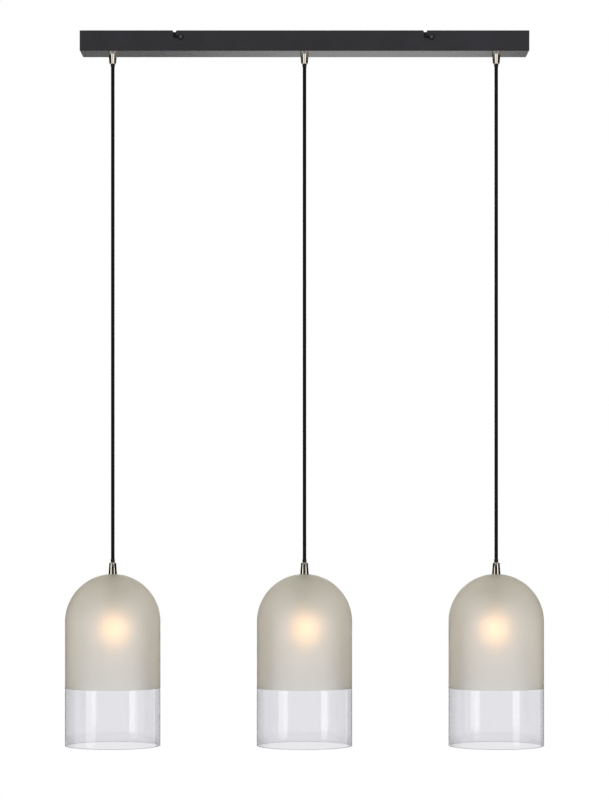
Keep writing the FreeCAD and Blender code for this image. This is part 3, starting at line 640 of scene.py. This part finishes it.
def mouldGrip(side):
    # ball in the ferrule's seat, with the snout that holds the cord
    size = grip
    low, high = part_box("cord_grip_" + side)
    snout, bore, ball, edge = size["snout"] / 2, size["bore"] / 2, size["ball"], size["edge"]
    pivot = pivotLevel["fore_aft_swing_" + side]
    reach = math.degrees(math.acos(snout / ball))
    rings = [(bore, low.z), (snout - edge, low.z)]
    rings += arc((snout - edge, low.z + edge), edge, -90, 0, size["edgeSteps"])
    rings += arc((0, pivot), ball, -reach, reach, size["ballSteps"])
    rings += [(bore, high.z), rings[0]]
    piece = turnRings("mouldedGrip_" + side, across[side], rings, size["segments"])
    settle(piece, "grip_" + side, "cord_grip_" + side, finishes["grip_nylon"])


collar = {"outer": 0.0071, "bore": 0.0061, "flangeThick": 0.003, "topRound": 0.0004, "roundSteps": 5,
          "segments": 64}


def mouldCollar(side):
    # thin sleeve round the cord, with its flange under the ferrule's shoulder
    size = collar
    low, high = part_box("lower_collar_" + side)
    flange, sleeve, bore = (high.x - low.x) / 2, size["outer"] / 2, size["bore"] / 2
    rings = [(bore, low.z), (flange, low.z), (flange, low.z + size["flangeThick"]),
             (sleeve, low.z + size["flangeThick"])]
    rings += arc((sleeve - size["topRound"], high.z - size["topRound"]), size["topRound"], 0, 90,
                 size["roundSteps"])
    rings += [(bore, high.z), rings[0]]
    piece = turnRings("mouldedCollar_" + side, across[side], rings, size["segments"])
    settle(piece, "pendant_" + side, "lower_collar_" + side, finishes["grip_nylon"])


bulb = {"ball": 0.0225, "neck": 0.012, "throat": 0.0105, "litBelow": 0.0175, "blend": 12, "pull": 0.35,
        "neckSteps": 12, "ballSteps": 36, "segments": 96}


def blowBulb(side):
    # small round opal bulb: the neck runs into the ball in one soft curve, which meets the ball a few
    # degrees (blend) below the place where the ball is as wide as the neck
    size = bulb
    low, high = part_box("bulb_globe_" + side)
    capLow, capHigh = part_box("bulb_cap_" + side)
    capRadius = (capHigh.x - capLow.x) / 2
    centre = low.z + size["ball"]
    turn = math.degrees(math.acos(size["neck"] / size["ball"])) - size["blend"]
    ball = arc((0, centre), size["ball"], turn, -90, size["ballSteps"])
    meetRadius, meetLevel = ball[0]
    throatLevel = meetLevel + size["pull"] * (high.z - meetLevel)
    rings = []
    for step in range(size["neckSteps"] + 1):
        share = step / size["neckSteps"]
        first, middle, last = (1 - share) ** 2, 2 * share * (1 - share), share ** 2
        rings.append((first * capRadius + middle * size["throat"] + last * meetRadius,
                      first * high.z + middle * throatLevel + last * meetLevel))
    rings += ball[1:]
    piece = turnRings("opalBulb_" + side, across[side], rings, size["segments"])
    piece.data.materials.append(opalFinish[side])
    piece.data.materials.append(bulbHousing)
    for face in piece.data.polygons:
        face.material_index = int(piece.location.z + face.center.z > centre + size["litBelow"])
    settle(piece, "pendant_" + side, "bulb_globe_" + side, opalFinish[side])


bell = {"glass": 0.003, "crownFlat": 0.018, "hole": 0.0105, "frosted": 0.1905, "edgeRound": 0.001,
        "edgeSteps": 4, "edgeAngle": 60, "segments": 144, "domeSteps": 44, "wallSteps": 6}


def blowBell(side):
    # hemisphere into a straight cylinder, dipped in acid down to a level line
    low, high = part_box("shade_" + side)
    outer = (high.x - low.x) / 2
    crown, rim = high.z, low.z
    flat = bell["crownFlat"] / 2
    domeCentre = crown - math.sqrt(outer ** 2 - flat ** 2)
    boundary = crown - bell["frosted"]
    start = math.degrees(math.acos(flat / outer))
    rings = [(bell["hole"] / 2, crown)] + arc((0, domeCentre), outer, start, 0, bell["domeSteps"])
    steps = bell["wallSteps"]
    rings += [(outer, domeCentre + (boundary - domeCentre) * i / steps) for i in range(1, steps + 1)]
    rings += [(outer, boundary + (rim - boundary) * i / steps) for i in range(1, steps)]
    # a ring just above the rim keeps the shading of the wall straight
    rings += [(outer, rim + 2 * bell["edgeRound"]), (outer, rim)]
    shade = turnRings("glassBell_" + side, across[side], rings, bell["segments"])
    shade.data.materials.append(etchedGlass[side])
    shade.data.materials.append(clearGlass)
    shade.data.materials.append(rimGlass)
    for face in shade.data.polygons:
        face.material_index = 0 if shade.location.z + face.center.z > boundary else 1
    wall = shade.modifiers.new("wall", "SOLIDIFY")
    wall.thickness = bell["glass"]
    wall.offset = -1
    wall.use_even_offset = True
    wall.material_offset = 1  # the acid only reaches the outside
    wall.material_offset_rim = 1
    edges = shade.modifiers.new("fired edges", "BEVEL")
    edges.width = bell["edgeRound"]
    edges.segments = bell["edgeSteps"]
    edges.limit_method = "ANGLE"
    edges.angle_limit = math.radians(bell["edgeAngle"])
    for modifier in ("wall", "fired edges"):
        bpy.ops.object.modifier_apply(modifier=modifier)
    for face in shade.data.polygons:
        atRim = shade.location.z + face.center.z < rim + bell["edgeRound"]
        face.material_index = 2 if atRim else min(face.material_index, 1)
    settle(shade, "pendant_" + side, "shade_" + side, etchedGlass[side])


headScrews()
for side in sides:
    turnUpperFerrule(side)
    turnLowerFerrule(side)
    mouldGrip(side)
    mouldCollar(side)
    blowBulb(side)
    blowBell(side)
print("screws headed, ferrules turned, grips moulded, bulbs and shades blown")


stage = {"floorLevel": -2.5, "floorRadius": 11.0, "floorSegments": 128, "aimLevel": -0.6, "flagCuts": 24,
         "white": 1.0, "lighting": 0.9}  # the last two: how strong the surround looks, and how it lights
softboxes = {  # azimuth from the camera's side, level of the middle, width, height, distance, watts
    "keyBox": (-54, -0.92, 1.5, 1.12, 3.6, 6.3),
    "fillBox": (49, -0.92, 1.0, 1.12, 3.6, 4.6),
}
flags = {  # azimuths from the camera's side, lowest and highest level, distance
    "leftFlag": (-66, -150, -1.15, 1.7, 8),
    "rightFlag": (60, 150, -1.15, 1.7, 8),
    "lensFlag": (-5, 5, -1.0, 0.7, 8),
    "lowerLensFlag": (-40, 36, -0.64, -0.36, 3),
    "leftInnerFlag": (-42, -66, -1.0, 1.2, 8),
    "rightInnerFlag": (44, 60, -1.0, 1.2, 8),
    "leftEdgeFlag": (-98, -150, -2.6, -1.15, 8),
    "rightEdgeFlag": (128, 150, -2.6, -1.15, 8),
    "leftBackFlag": (-150, -176.6, -2.2, -0.8, 8),
    "leftBandFlag": (-176.6, -179.4, -1.5, -1.1, 8),
    "rightBackFlag": (150, 173.7, -2.2, -0.8, 8),
}


def paleFloorPaint():
    # matt studio paint on board, rolled: nearly white, with a faint roller texture
    finish, tree, shader = newFinish("paleFloorPaint", {"Roughness": 0.85})
    mottle(tree, shader, 300, "#f4f4f3", "#f7f7f6")
    relief(tree, shader, patch(tree, 4), 0.05)
    return finish


def layFloor():
    bpy.ops.object.select_all(action="DESELECT")
    bpy.ops.mesh.primitive_circle_add(vertices=stage["floorSegments"], radius=stage["floorRadius"],
                                      fill_type="NGON", location=(0, 0, stage["floorLevel"]))
    floor = bpy.context.object
    floor.name = "studioFloor"
    floor.data.materials.append(paleFloorPaint())


def hangSoftboxes():
    for name, (azimuth, level, width, tall, distance, watts) in softboxes.items():
        turn = math.radians(azimuth)
        place = Vector((math.sin(turn) * distance, -math.cos(turn) * distance, level))
        aim = (Vector((0, 0, stage["aimLevel"])) - place).to_track_quat("-Z", "Y")
        bpy.ops.object.light_add(type="AREA", location=place, rotation=aim.to_euler())
        box = bpy.context.object
        box.name = name
        box.data.shape = "RECTANGLE"
        box.data.size = width
        box.data.size_y = tall
        box.data.energy = watts
        box.visible_camera = False


def blackFlagCloth():
    # matt brown-black cloth that keeps light off the polished metal's flanks and warms them
    finish, tree, shader = newFinish("blackFlagCloth", {"Roughness": 0.95, "Specular IOR Level": 0.1})
    mottle(tree, shader, 200, "#1a120a", "#22180e")
    return finish


def hangFlags():
    # curved cloths round the studio, outside the picture, that only reflections meet
    cloth = blackFlagCloth()
    for name, (start, end, low, high, distance) in flags.items():
        bpy.ops.object.select_all(action="DESELECT")
        bpy.ops.mesh.primitive_plane_add(size=1)
        flag = bpy.context.object
        flag.name = name
        bpy.ops.object.mode_set(mode="EDIT")
        bpy.ops.mesh.subdivide(number_cuts=stage["flagCuts"])
        bpy.ops.object.mode_set(mode="OBJECT")
        for point in flag.data.vertices:
            turn = math.radians(start + (end - start) * (point.co.x + 0.5))
            level = low + (high - low) * (point.co.y + 0.5)
            point.co = (math.sin(turn) * distance, -math.cos(turn) * distance, level)
        flag.data.materials.append(cloth)
        flag.visible_camera = False
        flag.visible_transmission = False
        flag.visible_diffuse = False
        flag.visible_shadow = False


def whiteSurround():
    # white to the eye, in the glass and in the metal; a softer level lights the object
    world = bpy.data.worlds.new("studioSurround")
    world.use_nodes = True
    tree = world.node_tree
    tree.nodes.clear()
    rays = addNode(tree, "ShaderNodeLightPath")
    seen = addNode(tree, "ShaderNodeMath",
                   {0: rays.outputs["Is Camera Ray"], 1: rays.outputs["Is Glossy Ray"]},
                   operation="MAXIMUM")
    seen = addNode(tree, "ShaderNodeMath", {0: seen.outputs[0], 1: rays.outputs["Is Transmission Ray"]},
                   operation="MAXIMUM")
    soft = addNode(tree, "ShaderNodeBackground", {"Color": (1, 1, 1, 1), "Strength": stage["lighting"]})
    white = addNode(tree, "ShaderNodeBackground", {"Color": (1, 1, 1, 1), "Strength": stage["white"]})
    mixed = addNode(tree, "ShaderNodeMixShader",
                    {0: seen.outputs[0], 1: soft.outputs[0], 2: white.outputs[0]})
    addNode(tree, "ShaderNodeOutputWorld", {"Surface": mixed.outputs[0]})
    bpy.context.scene.world = world


layFloor()
hangSoftboxes()
hangFlags()
whiteSurround()
bpy.context.scene.view_settings.view_transform = "Standard"
print("stage set")
